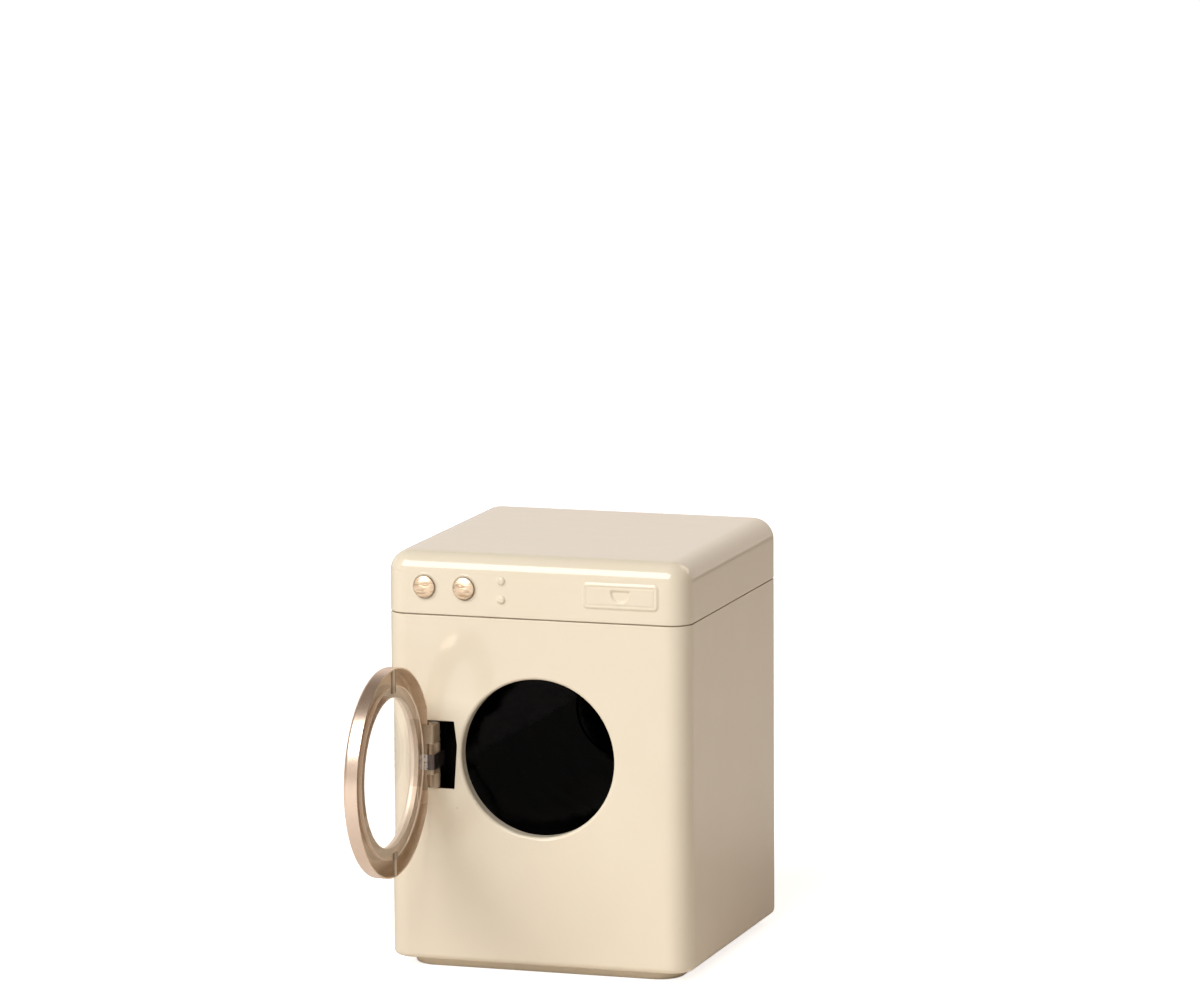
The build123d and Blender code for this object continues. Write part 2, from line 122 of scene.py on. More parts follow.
def size(label, about, default):
    """A length that a user may change, in metres."""
    return offset(label, about, default, min=0)


def power(label, about, default):
    """Power of a lamp, in watts."""
    return FloatProperty(name=label, description=about, default=default, min=0, unit="POWER")


def share(label, about, default):
    """A plain number from 0 to 1."""
    return FloatProperty(name=label, description=about, default=default, min=0, max=1, subtype="FACTOR")


def colour(label, about, default):
    """A linear colour."""
    return FloatVectorProperty(
        name=label, description=about, default=default, min=0, max=1, size=3, subtype="COLOR"
    )


class EnamelSettings(bpy.types.PropertyGroup):
    """Cream enamel of the cabinet, the lid and the plinth"""

    cream: colour("Cream", "Colour of the enamel", (0.890, 0.792, 0.620))
    cream_shade: colour("Shade", "Colour where the enamel is thinner or stained", (0.820, 0.680, 0.480))
    grime: colour("Grime", "Colour of the dirt that stays in folds", (0.330, 0.230, 0.140))
    # Painted shade: this colour darkens the gap under the lid, where shade falls.
    seam_painted_shade: colour("Seam grime", "Colour of the dirt in the gap under the lid", (0.560, 0.425, 0.295))
    gloss: share("Roughness", "Roughness of the clean enamel", 0.09)
    black: colour("Drum black", "Colour of the drum's enamel", (0.006, 0.005, 0.005))


class LidSettings(bpy.types.PropertyGroup):
    """Pressings of the lid's front skirt"""

    drawer_x: offset("Drawer place", "Drawer's middle from the lid's middle", 26.9 * MM)
    drawer_w: size("Drawer width", "Width of the raised drawer", 23.2 * MM)
    drawer_h: size("Drawer height", "Height of the raised drawer", 7.5 * MM)
    drawer_r: size("Drawer corner", "Radius of the drawer's corners", 1.3 * MM)
    drawer_drop: size("Drawer drop", "Drawer's middle below the top of the lid", 10.55 * MM)
    drawer_raise: size("Drawer raise", "How far the drawer stands out", 0.42 * MM)
    press_edge: size("Pressed edge", "Width of the slope round a pressing", 0.85 * MM)
    groove_depth: size("Groove depth", "Depth of the groove just inside the drawer's edge", 0.14 * MM)
    groove_in: size("Groove inset", "Middle of the groove inside the drawer's edge", 1.0 * MM)
    grip_w: size("Grip width", "Width of the half-moon grip", 5.8 * MM)
    grip_h: size("Grip height", "Height of the half-moon grip", 3.6 * MM)
    grip_depth: size("Grip depth", "Depth of the half-moon grip", 0.6 * MM)
    light_x: offset("Lights' place", "Middle of the lights from the lid's middle", -10.5 * MM)
    light_drop: size("Lights' drop", "Middle of the lights below the top of the lid", 10.3 * MM)
    light_pitch: size("Lights' pitch", "Distance between the two lights", 5.7 * MM)
    light_r: size("Light radius", "Radius of each light's dome", 1.35 * MM)
    light_raise: size("Light raise", "Height of each light's dome", 0.75 * MM)
    seat_r: size("Seat radius", "Middle radius of the bead round a knob", 3.85 * MM)
    seat_raise: size("Seat raise", "Height of the bead round a knob", 0.14 * MM)
    hem_r: size("Hem radius", "Rounding of the lid's bottom edge", 0.2 * MM)


class PlatingSettings(bpy.types.PropertyGroup):
    """Champagne plating of the door, the hinge and the knobs"""

    champagne: colour("Champagne", "Colour of the door's plating", (0.800, 0.640, 0.520))
    satin: colour("Satin", "Colour of the dull plating inside the door", (0.600, 0.465, 0.340))
    # Painted light: this colour is lighter than the satin to offset the shade deep in the channel.
    channel: colour("Channel", "Colour of the dull plating deep in the door's channel", (0.800, 0.640, 0.470))
    # Painted highlight: this paler colour stands in for the light caught on the hole's lip.
    lip: colour("Lip", "Colour of the window hole's lip", (0.900, 0.740, 0.600))
    # Painted shade: this near-black colour darkens the folds of the door's tabs.
    fold: colour("Fold", "Colour of the dirt in the folds of the door's tabs", (0.050, 0.032, 0.022))
    hinge_satin: colour("Hinge satin", "Colour of the dull plating of the hinge", (0.480, 0.370, 0.260))
    golden: colour("Golden", "Colour of the knobs' plating", (0.860, 0.700, 0.515))
    tarnish: colour("Tarnish", "Colour of the plating where it has dulled", (0.480, 0.340, 0.220))
    steel: colour("Steel", "Colour of bare steel", (0.560, 0.550, 0.540))
    dark_steel: colour("Dark steel", "Colour of the strap", (0.100, 0.085, 0.082))
    brass: colour("Brass", "Colour of the bush", (0.640, 0.430, 0.150))
    hammer_depth: size("Hammer depth", "Depth of the hammered marks on the knobs", 0.07 * MM)


class StudioSettings(bpy.types.PropertyGroup):
    """Floor, lights and camera"""

    floor: colour("Floor", "Colour of the floor", (0.93, 0.87, 0.82))
    ambient: share("Ambient", "Level of the even light from all round", 0.09)
    key: power("Key", "Power of the large soft light", 54.5)
    fill: power("Fill", "Power of the small light on the side", 1.3)


class WasherSettings(bpy.types.PropertyGroup):
    """All settings of the toy washing machine"""

    enamel: PointerProperty(type=EnamelSettings)
    lid: PointerProperty(type=LidSettings)
    plating: PointerProperty(type=PlatingSettings)
    studio: PointerProperty(type=StudioSettings)


def make_node(tree, kind, inputs=(), **attributes):
    """Adds a shader node; inputs that are sockets are linked, other inputs are set."""
    made = tree.nodes.new("ShaderNode" + kind)
    for name, value in attributes.items():
        setattr(made, name, value)
    for name, value in dict(inputs).items():
        if isinstance(value, bpy.types.NodeSocket):
            tree.links.new(value, made.inputs[name])
        else:
            made.inputs[name].default_value = value
    return made


def rgba(value):
    """A colour with full alpha."""
    return (*value[:3], 1)


def calc(tree, operation, *values):
    """Output of a Math node."""
    return make_node(tree, "Math", dict(enumerate(values)), operation=operation).outputs[0]


def spread(tree, value, low, high, to_low=0.0, to_high=1.0):
    """Output of a smooth Map Range node."""
    inputs = {0: value, 1: low, 2: high, 3: to_low, 4: to_high}
    return make_node(tree, "MapRange", inputs, interpolation_type="SMOOTHSTEP").outputs[0]


def product(tree, first, *others):
    """Output of Math nodes that multiply all the values."""
    for other in others:
        first = calc(tree, "MULTIPLY", first, other)
    return first


def length_of(tree, first, second):
    """Length of two steps at right angles."""
    squares = [calc(tree, "POWER", step, 2) for step in (first, second)]
    return calc(tree, "SQRT", calc(tree, "ADD", *squares))


def mix_colour(tree, factor, first, second):
    """Output of a Mix node for colours."""
    return make_node(tree, "Mix", {0: factor, 6: first, 7: second}, data_type="RGBA").outputs[2]


def own_place(tree):
    """Place of the surface in the object's own axes, in metres."""
    return make_node(tree, "TexCoord").outputs["Object"]


def split(tree, place):
    """X, Y and Z of a place."""
    return make_node(tree, "SeparateXYZ", {0: place}).outputs


def from_point(tree, place, middle):
    """A place as seen from a middle."""
    return make_node(tree, "VectorMath", {0: place, 1: middle}, operation="SUBTRACT").outputs[0]


def measure(tree, place, direction):
    """How far a place lies along a direction."""
    return make_node(tree, "VectorMath", {0: place, 1: direction}, operation="DOT_PRODUCT").outputs["Value"]


def grain(tree, place, scale, **settings):
    """Output of a Noise texture."""
    inputs = {"Vector": place, "Scale": scale}
    inputs.update({name.title(): value for name, value in settings.items()})
    return make_node(tree, "TexNoise", inputs).outputs[0]


def socket_name(key):
    """A socket's name from a keyword."""
    return key.replace("_", " ").title()


def new_group(name, output, **inputs):
    """Starts a shader node group; returns it with its input sockets and its only output socket."""
    group = bpy.data.node_groups.new(name, "ShaderNodeTree")
    for key, default in inputs.items():
        kind = "NodeSocketColor" if isinstance(default, tuple) else "NodeSocketFloat"
        made = group.interface.new_socket(name=socket_name(key), in_out="INPUT", socket_type=kind)
        made.default_value = default
    kind = "NodeSocketColor" if output == "Color" else "NodeSocketFloat"
    group.interface.new_socket(name=output, in_out="OUTPUT", socket_type=kind)
    return group, group.nodes.new("NodeGroupInput").outputs, group.nodes.new("NodeGroupOutput").inputs[0]


def build_ripple():
    """Height of orange peel and of the shallow waves that pressing leaves in a sheet."""
    group, given, made = new_group("sheet_ripple", "Height", peel_scale=1200, peel=0.3, wave_scale=60, wave=1)
    place = own_place(group)
    fine = product(group, grain(group, place, given["Peel Scale"], detail=1.5), given["Peel"])
    broad = product(group, grain(group, place, given["Wave Scale"], detail=1), given["Wave"])
    group.links.new(calc(group, "ADD", fine, broad), made)
    return group


def build_drift():
    """Colour that drifts slowly between two tones, as an old finish does."""
    white = (1, 1, 1, 1)
    group, given, made = new_group("tone_drift", "Color", color=white, aged=white, scale=40, amount=0.3)
    patches = grain(group, own_place(group), given["Scale"], detail=5, roughness=0.6)
    factor = product(group, spread(group, patches, 0.35, 0.75), given["Amount"])
    group.links.new(mix_colour(group, factor, given["Color"], given["Aged"]), made)
    return group


def build_specks():
    """Mask of small scattered specks and pinholes."""
    group, given, made = new_group("fine_specks", "Mask", scale=300, size=0.12, share=0.3)
    cells = make_node(group, "TexVoronoi", {"Vector": own_place(group), "Scale": given["Scale"]}).outputs
    inside = spread(group, cells["Distance"], given["Size"], 0.0)
    lot = make_node(group, "SeparateColor", {0: cells["Color"]}).outputs[0]
    picked = calc(group, "LESS_THAN", lot, given["Share"])
    group.links.new(product(group, inside, picked), made)
    return group


def build_scratches():
    """Mask of fine scratches that run in two directions."""
    group, given, made = new_group("fine_scratches", "Mask", scale=90, share=0.4)
    place = own_place(group)
    masks = []
    for turn, stretch in (((0.3, 0.9, 0.2), (1, 1, 16)), ((1.2, 0.4, 1.0), (14, 1, 1))):
        laid = make_node(group, "Mapping", {"Vector": place, "Rotation": turn, "Scale": stretch}).outputs[0]
        masks.append(spread(group, grain(group, laid, given["Scale"], detail=3), 0.62, 0.72))
    group.links.new(product(group, calc(group, "MAXIMUM", *masks), given["Share"]), made)
    return group


def build_smudges():
    """Roughness that rises in soft patches, as handling and dust leave it."""
    group, given, made = new_group("handled_gloss", "Roughness", clean=0.2, dull=0.35, scale=45)
    patches = grain(group, own_place(group), given["Scale"], detail=6, roughness=0.65)
    level = spread(group, patches, 0.38, 0.72)
    mixed = make_node(group, "Mix", {0: level, 2: given["Clean"], 3: given["Dull"]}).outputs[0]
    group.links.new(mixed, made)
    return group


GROUP_BUILDERS = {
    "sheet_ripple": build_ripple,
    "tone_drift": build_drift,
    "fine_specks": build_specks,
    "fine_scratches": build_scratches,
    "handled_gloss": build_smudges,
}


def use(tree, name, **values):
    """Places a node group, sets or links its inputs and returns its only output."""
    group = bpy.data.node_groups.get(name) or GROUP_BUILDERS[name]()
    inputs = {socket_name(key): value for key, value in values.items()}
    return make_node(tree, "Group", inputs, node_tree=group).outputs[0]


def new_material(name, **fixed):
    """A material with a Principled shader whose constant values are set on its own sockets."""
    material = bpy.data.materials.new(name)
    material.use_nodes = True
    tree = material.node_tree
    tree.nodes.clear()
    inputs = {key.replace("_", " "): value for key, value in fixed.items()}
    shader = make_node(tree, "BsdfPrincipled", inputs)
    make_node(tree, "OutputMaterial", {"Surface": shader.outputs[0]})
    return material, tree, shader.inputs


def bump(tree, height, distance):
    """Normal from a height."""
    return make_node(tree, "Bump", {"Height": height, "Distance": distance, "Strength": 1.0}).outputs[0]


def feed(tree, sockets, **values):
    """Links values to the shader's sockets."""
    for name, value in values.items():
        tree.links.new(value, sockets[name.replace("_", " ")])


def cream_enamel(name, drift=0.10):
    """Cream enamel over pressed sheet, with a slow drift of tone, a few pinholes and painted shade that
    darkens the seam gap under the lid.
    """
    enamel = bpy.context.scene.washer.enamel
    material, tree, sockets = new_material(name, IOR=1.56)
    shade = rgba(enamel.cream_shade)
    base = use(tree, "tone_drift", color=rgba(enamel.cream), aged=shade, scale=38, amount=drift)
    holes = use(tree, "fine_specks", scale=200, size=0.07, share=0.012)
    base = mix_colour(tree, holes, base, rgba(enamel.grime))
    # Painted shade: a darker band laid along the gap between the lid and the body.
    height = split(tree, own_place(tree))["Z"]
    seam = product(
        tree,
        spread(tree, height, SEAM_LOW - 0.06 * MM, SEAM_LOW + 0.02 * MM),
        spread(tree, height, LID_LOW.z + 0.06 * MM, LID_LOW.z - 0.02 * MM),
        use(tree, "handled_gloss", clean=0.75, dull=1.0, scale=55),
    )
    base = mix_colour(tree, seam, base, rgba(enamel.seam_painted_shade))
    ripple = use(tree, "sheet_ripple", peel_scale=1250, peel=0.01, wave_scale=70, wave=0.3)
    gloss = use(tree, "handled_gloss", clean=enamel.gloss, dull=enamel.gloss + 0.05, scale=42)
    feed(tree, sockets, Base_Color=base, Roughness=gloss, Normal=bump(tree, ripple, 0.15 * MM))
    return material


def black_enamel():
    """Glossy black enamel of the drum."""
    enamel = bpy.context.scene.washer.enamel
    material, tree, sockets = new_material("black_enamel_gloss", IOR=1.4)
    dust = use(tree, "fine_specks", scale=420, size=0.12, share=0.08)
    worn = (0.012, 0.010, 0.009, 1)
    tone = use(tree, "tone_drift", color=rgba(enamel.black), aged=worn, scale=60, amount=0.7)
    tone = mix_colour(tree, dust, tone, (0.06, 0.055, 0.05, 1))
    ripple = use(tree, "sheet_ripple", peel_scale=900, peel=0.05, wave_scale=95, wave=1.0)
    gloss = use(tree, "handled_gloss", clean=0.05, dull=0.1, scale=60)
    feed(tree, sockets, Base_Color=tone, Roughness=gloss, Normal=bump(tree, ripple, 0.12 * MM))
    return material


def plated(name, clean, gloss, dull, wave=0.5, drift=0.35, metallic=1.0):
    """Plated or bare metal with drifting tone, scratches and handled gloss."""
    tarnish = rgba(bpy.context.scene.washer.plating.tarnish)
    material, tree, sockets = new_material(name, Metallic=metallic)
    tone = use(tree, "tone_drift", color=rgba(clean), aged=tarnish, scale=70, amount=drift)
    scratches = use(tree, "fine_scratches", scale=160, share=0.5)
    tone = mix_colour(tree, product(tree, scratches, 0.3), tone, tarnish)
    rough = use(tree, "handled_gloss", clean=gloss, dull=dull, scale=90)
    rough = calc(tree, "ADD", rough, product(tree, scratches, 0.12))
    ripple = use(tree, "sheet_ripple", peel_scale=1500, peel=0.06, wave_scale=110, wave=wave)
    feed(tree, sockets, Base_Color=tone, Roughness=rough, Normal=bump(tree, ripple, 0.12 * MM))
    return material


def ring_places(tree):
    """Places on the door's ring: out from its middle, radius, and depth in from its rim."""
    place = from_point(tree, own_place(tree), RING_MIDDLE)
    out, rise, depth = (measure(tree, place, way) for way in (DOOR_OUT, (0, 0, 1), -DOOR_IN))
    return out, length_of(tree, out, rise), depth


def tab_fold_painted_shade(tree, out, radius, depth):
    """Mask of painted shade, near black, in the folds of the two tabs that hold the window."""
    before = spread(tree, out, -0.6 * MM, -0.9 * MM)
    behind = product(tree, spread(tree, out, 0.3 * MM, 0.7 * MM), 0.55)
    return product(
        tree,
        calc(tree, "MAXIMUM", before, behind),
        spread(tree, calc(tree, "ABSOLUTE", out), 1.6 * MM, 1.4 * MM),
        spread(tree, radius, PANE_R - 2.1 * MM, PANE_R - 1.9 * MM),
        spread(tree, depth, 0.52 * MM, 0.48 * MM),
        0.9,
    )


def door_plating():
    """Polished plating outside the door's ring, dull inside its channel and round the window's hole. The deep
    channel is painted lighter to offset its shade, and the hole's lip is painted paler as a painted
    highlight.
    """
    plating = bpy.context.scene.washer.plating
    tarnish = rgba(plating.tarnish)
    material, tree, sockets = new_material("plated_door_ring")
    out, radius, depth = ring_places(tree)
    skin, under = 0.15 * MM, 0.35 * MM
    inside = product(
        tree,
        spread(tree, radius, RING_R - skin, RING_R - under),
        spread(tree, out, skin - RING_FLAT, under - RING_FLAT),
        spread(tree, depth, RING_DEPTH - skin, RING_DEPTH - under),
    )
    # Painted light: the deep channel gets a lighter colour to make up for the shade that falls there.
    deep = calc(
        tree,
        "MAXIMUM",
        spread(tree, radius, PANE_R - 0.3 * MM, PANE_R + 0.6 * MM),
        spread(tree, out, 1.2 * MM - RING_FLAT, 0.6 * MM - RING_FLAT),
    )
    # Painted highlight: a paler band on the window hole's lip stands in for the light it catches.
    lip = product(
        tree,
        spread(tree, radius, RING_HOLE_R + 0.5 * MM, RING_HOLE_R + 0.2 * MM),
        spread(tree, depth, RING_DEPTH - 1.7 * MM, RING_DEPTH - 1.4 * MM),
    )
    satin_and_painted_light = mix_colour(tree, deep, rgba(plating.satin), rgba(plating.channel))
    dull = use(tree, "tone_drift", color=satin_and_painted_light, aged=tarnish, scale=120, amount=0.3)
    dull = mix_colour(tree, lip, dull, rgba(plating.lip))
    dull = mix_colour(tree, tab_fold_painted_shade(tree, out, radius, depth), dull, rgba(plating.fold))
    tone = use(tree, "tone_drift", color=rgba(plating.champagne), aged=tarnish, scale=70, amount=0.2)
    scratches = use(tree, "fine_scratches", scale=160, share=0.5)
    tone = mix_colour(tree, product(tree, scratches, 0.25), mix_colour(tree, inside, tone, dull), tarnish)
    rough = use(tree, "handled_gloss", clean=0.27, dull=0.33, scale=90)
    rough = calc(tree, "ADD", rough, product(tree, inside, 0.15))
    rough = calc(tree, "ADD", rough, product(tree, scratches, 0.08))
    ripple = use(tree, "sheet_ripple", peel_scale=1500, peel=0.02, wave_scale=110, wave=0.3)
    feed(tree, sockets, Base_Color=tone, Roughness=rough, Normal=bump(tree, ripple, 0.12 * MM))
    feed(tree, sockets, Metallic=spread(tree, inside, 0, 1, 1.0, 0.3))
    return material


def dark_spring_steel():
    """Dark strap with a pale crackled patch beside the door's rim: partly coating that has lifted and partly
    a painted highlight where the strap passes over the rim.
    """
    plating = bpy.context.scene.washer.plating
    material, tree, sockets = new_material("dark_spring_steel_worn")
    place = own_place(tree)
    cracks = make_node(tree, "TexVoronoi", {"Vector": place, "Scale": 2600}, feature="DISTANCE_TO_EDGE")
    plates = grain(tree, place, 900, detail=4, roughness=0.7)
    parts = split(tree, place)
    crackle_and_glint = product(
        tree,
        spread(tree, parts["X"], HINGE.x - 3.8 * MM, HINGE.x - 3.3 * MM),
        spread(tree, parts["X"], HINGE.x - 0.2 * MM, HINGE.x - 0.5 * MM),
        spread(tree, parts["Y"], HINGE.y - 5.0 * MM, HINGE.y - 5.4 * MM),
        spread(tree, plates, 0.40, 0.47),
        spread(tree, cracks.outputs["Distance"], 0.015, 0.06),
    )
    rust = (0.09, 0.06, 0.045, 1)
    tone = use(tree, "tone_drift", color=rgba(plating.dark_steel), aged=rust, scale=300, amount=0.8)
    # Painted highlight in part: the patch is painted near white where the strap catches light over the rim.
    tone = mix_colour(tree, crackle_and_glint, tone, (0.92, 0.86, 0.80, 1))
    height = calc(tree, "ADD", plates, product(tree, crackle_and_glint, 0.6))
    rough = use(tree, "handled_gloss", clean=0.28, dull=0.5, scale=400)
    feed(tree, sockets, Base_Color=tone, Roughness=rough, Normal=bump(tree, height, 0.06 * MM))
    feed(tree, sockets, Metallic=spread(tree, crackle_and_glint, 0, 1, 0.8, 0.1))
    return material


def clear_window():
    """Clear pane with faint scratches."""
    fixed = {"Transmission_Weight": 1.0, "IOR": 1.2, "Metallic": 0.0}
    material, tree, sockets = new_material("clear_window_pane", **fixed)
    scratches = use(tree, "fine_scratches", scale=120, share=0.25)
    tint = mix_colour(tree, scratches, (1, 1, 1, 1), (0.96, 0.955, 0.94, 1))
    rough = product(tree, scratches, 0.06)
    ripple = use(tree, "sheet_ripple", peel_scale=700, peel=0.02, wave_scale=60, wave=0.35)
    feed(tree, sockets, Base_Color=tint, Roughness=rough, Normal=bump(tree, ripple, 0.05 * MM))
    return material


def rim_with_painted_glow():
    """Sawn rim of the pane, matt and toned by the plating round it, with a faint painted glow that stands in
    for light caught in the glass.
    """
    plating = bpy.context.scene.washer.plating
    # Painted light: the rim glows faintly in its own colour, though it is no lamp.
    material, tree, sockets = new_material("pane_rim_painted_glow", Emission_Strength=0.28)
    satin, tarnish = rgba(plating.satin), rgba(plating.tarnish)
    tone = use(tree, "tone_drift", color=satin, aged=tarnish, scale=200, amount=0.5)
    rough = use(tree, "handled_gloss", clean=0.5, dull=0.65, scale=200)
    marks = use(tree, "sheet_ripple", peel_scale=2200, peel=0.3, wave_scale=300, wave=0.4)
    normal = bump(tree, marks, 0.05 * MM)
    feed(tree, sockets, Base_Color=tone, Roughness=rough, Emission_Color=tone, Normal=normal)
    return material


def hammered_plating(name, knob, tilt):
    """Knob's plating, with ridges across the dome at the knob's tilt and a dark ring of painted shade round
    its edge.
    """
    plating = bpy.context.scene.washer.plating
    golden, tarnish = rgba(plating.golden), rgba(plating.tarnish)
    material, tree, sockets = new_material(name, Metallic=1.0)
    place = from_point(tree, own_place(tree), knob)
    parts = split(tree, place)
    stretched = {"Vector": place, "Rotation": (0, tilt, 0), "Scale": (0.2, 0.2, 1)}
    laid = make_node(tree, "Mapping", stretched).outputs[0]
    ridges = grain(tree, laid, 1150, detail=3, roughness=0.55, distortion=0.4)
    tone = use(tree, "tone_drift", color=golden, aged=tarnish, scale=200, amount=0.2)
    hollow = spread(tree, ridges, 0.50, 0.38)
    tone = mix_colour(tree, product(tree, hollow, 0.7), tone, tarnish)
    # Painted shade: a dark ring at the knob's edge stands in for the shade in the crevice against its seat.
    edge = spread(tree, length_of(tree, parts["X"], parts["Z"]), KNOB_R - 0.22 * MM, KNOB_R - 0.02 * MM)
    tone = mix_colour(tree, product(tree, edge, 0.85), tone, (0.20, 0.115, 0.070, 1))
    rough = use(tree, "handled_gloss", clean=0.38, dull=0.48, scale=300)
    feed(tree, sockets, Base_Color=tone, Roughness=rough, Normal=bump(tree, ridges, 0.32 * MM))
    return material


def paint(material, *nodes):
    """Gives CAD nodes a material."""
    for name in nodes:
        node = frame["nodes"][name]
        if not node.material_slots:
            node.data.materials.append(material)
        for place in node.material_slots:
            place.material = material


def add_piece(name, points, faces, material, body, slot, replaced):
    """Adds a piece made of points and faces, which stands for a CAD node and rides on its body."""
    mesh = bpy.data.meshes.new(name)
    mesh.from_pydata(points, [], faces)
    if mesh.validate(verbose=False):
        raise RuntimeError(f"{name}: the mesh had faulty faces")
    mesh.shade_smooth()
    mesh.set_sharp_from_angle(angle=radians(50))
    piece = bpy.data.objects.new(name, mesh)
    bpy.context.scene.collection.objects.link(piece)
    mesh.materials.append(material)
    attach(piece, body)
    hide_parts(replaced)
    return piece


def soft_step(value):
    """Smooth rise from 0 to 1."""
    value = min(max(value, 0.0), 1.0)
    return value * value * (3 - 2 * value)


def box_distance(x, z, half_w, half_h, radius):
    """Distance outside a rounded rectangle, negative inside."""
    over_x = abs(x) - half_w + radius
    over_z = abs(z) - half_h + radius
    return hypot(max(over_x, 0), max(over_z, 0)) + min(max(over_x, over_z), 0) - radius


def fascia_relief(lid, top, x, z):
    """Height of the fascia's pressings at one place of the front skirt."""
    edge = lid.press_edge
    bead_half = 0.5 * MM
    drawer_x = x - lid.drawer_x
    drawer_z = z - (top - lid.drawer_drop)
    out = box_distance(drawer_x, drawer_z, lid.drawer_w / 2, lid.drawer_h / 2, lid.drawer_r)
    height = lid.drawer_raise * soft_step(0.5 - out / edge)
    if out < 0:
        height -= lid.groove_depth * soft_step(1 - abs(out + lid.groove_in) / bead_half)
        half = lid.grip_w / 2
        rise = lid.grip_h / 2
        arc_up = half * half / (4 * rise)
        arc_r = arc_up + rise
        grip = max(hypot(drawer_x, drawer_z - arc_up) - arc_r, drawer_z - rise)
        height -= lid.grip_depth * soft_step(0.35 - grip / edge)
    for side in (-0.5, 0.5):
        away = hypot(x - lid.light_x, z - (top - lid.light_drop) - side * lid.light_pitch)
        if away < 1.4 * lid.light_r:
            dome = max(1 - (away / lid.light_r) ** 2, 0)
            cap = 0.86 * sqrt(dome) * soft_step(dome * 4)
            height += lid.light_raise * (cap + 0.14 * soft_step(dome + 0.35))
    for knob in (LEFT_KNOB, RIGHT_KNOB):
        away = abs(hypot(x - knob.x, z - knob.z) - lid.seat_r)
        height += lid.seat_raise * soft_step(1 - away / bead_half)
    return height


# Distances between the lid's lines: within its pressings, and elsewhere across and up
FINE = 0.15 * MM
COARSE = 0.9 * MM
COARSE_UP = 0.5 * MM


def stations(low, high, fine_spans, coarse):
    """Places from low to high, close together within the fine spans."""
    places = [low]
    while places[-1] < high - 1e-9:
        here = places[-1]
        inside = [end for start, end in fine_spans if start - 1e-9 <= here < end - 1e-9]
        if inside:
            places.append(min(here + FINE, inside[0], high))
        else:
            nearest = min([start for start, end in fine_spans if start > here + 1e-9] + [high])
            count = max(round((nearest - here) / coarse), 1)
            places += [here + (nearest - here) * step / count for step in range(1, count + 1)]
    return places


def quarter(steps):
    """Angles of a quarter turn in equal steps, without its start."""
    return [step * pi / 2 / steps for step in range(1, steps + 1)]


def lid_columns(lid):
    """Anchors and outward directions of the lid's upright lines, round from the front's left end."""
    half_x = LID_HIGH.x - CORNER_R
    half_y = LID_HIGH.y - CORNER_R
    corner_w = 2.2 * MM
    reach = lid.seat_r + 0.8 * MM
    spans = [(knob.x - reach, knob.x + reach) for knob in (LEFT_KNOB, RIGHT_KNOB)]
    spans.append((lid.light_x - 1.5 * lid.light_r, lid.light_x + 1.5 * lid.light_r))
    for side in (-0.5, 0.5):
        corner = lid.drawer_x + side * lid.drawer_w
        spans.append((corner - corner_w, corner + lid.press_edge))
    half_grip = lid.grip_w / 2 + lid.press_edge
    spans.append((lid.drawer_x - half_grip, lid.drawer_x + half_grip))
    spans.sort()
    across = stations(-half_x, half_x, spans, COARSE)
    columns = [(Vector((x, -half_y, 0)), Vector((0, -1, 0))) for x in across]
    turns = quarter(14)[:-1]
    sides = [
        (Vector((half_x, -half_y, 0)), Vector((half_x, half_y, 0)), 0.0, -pi / 2),
        (Vector((half_x, half_y, 0)), Vector((-half_x, half_y, 0)), pi / 2, 0.0),
        (Vector((-half_x, half_y, 0)), Vector((-half_x, -half_y, 0)), pi, pi / 2),
    ]
    for start, end, facing, before in sides:
        columns += [(start, Vector((cos(before + turn), sin(before + turn), 0))) for turn in turns]
        normal = Vector((cos(facing), sin(facing), 0))
        columns += [(start.lerp(end, step / 24), normal) for step in range(25)]
    last = Vector((-half_x, -half_y, 0))
    columns += [(last, Vector((cos(pi + turn), sin(pi + turn), 0))) for turn in turns]
    return columns


def lid_levels(lid):
    """Rows of the outer and inner skins: inset, height and share of the anchor, from the bottom edge."""
    bottom = LID_LOW.z
    fold = LID_HIGH.z - LID_EDGE_R
    hem = lid.hem_r
    plain, near_knob = 3.4 * MM, 1.7 * MM
    turns = [0, *quarter(4)]
    outer = [(hem * (1 - sin(turn)), bottom + hem * (1 - cos(turn)), 1) for turn in turns]
    rows = stations(bottom + hem, fold, [(bottom + plain, fold)], COARSE_UP)[1:]
    outer += [(0, z, 1) for z in rows]
    early = [step * radians(1.3) for step in range(1, 10)]
    late = [early[-1] + (pi / 2 - early[-1]) * step / 13 for step in range(1, 14)]
    outer += [(LID_EDGE_R * (1 - cos(turn)), fold + LID_EDGE_R * sin(turn), 1) for turn in early + late]
    inner_r = LID_EDGE_R - SHEET
    inner = [(SHEET - hem * (1 - sin(turn)), bottom + hem * (1 - cos(turn)), 1) for turn in turns]
    shank = [z for z in rows if abs(z - LEFT_KNOB.z) < near_knob]
    inner += [(SHEET, z, 1) for z in (bottom + 2 * MM, bottom + 4.5 * MM, *shank, fold)]
    inner += [(SHEET + inner_r * (1 - cos(turn)), fold + inner_r * sin(turn), 1) for turn in quarter(8)]
    flat = [0.93, 0.8, 0.6, 0.4, 0.2]
    outer += [(LID_EDGE_R, LID_HIGH.z, share_of) for share_of in flat]
    inner += [(LID_EDGE_R, LID_HIGH.z - SHEET, share_of) for share_of in flat]
    return outer, inner


def near_shank(x, z):
    """Whether a place of the fascia is inside a hole for a knob's shank."""
    return any(hypot(x - knob.x, z - knob.z) < SHANK_HOLE_R for knob in (LEFT_KNOB, RIGHT_KNOB))


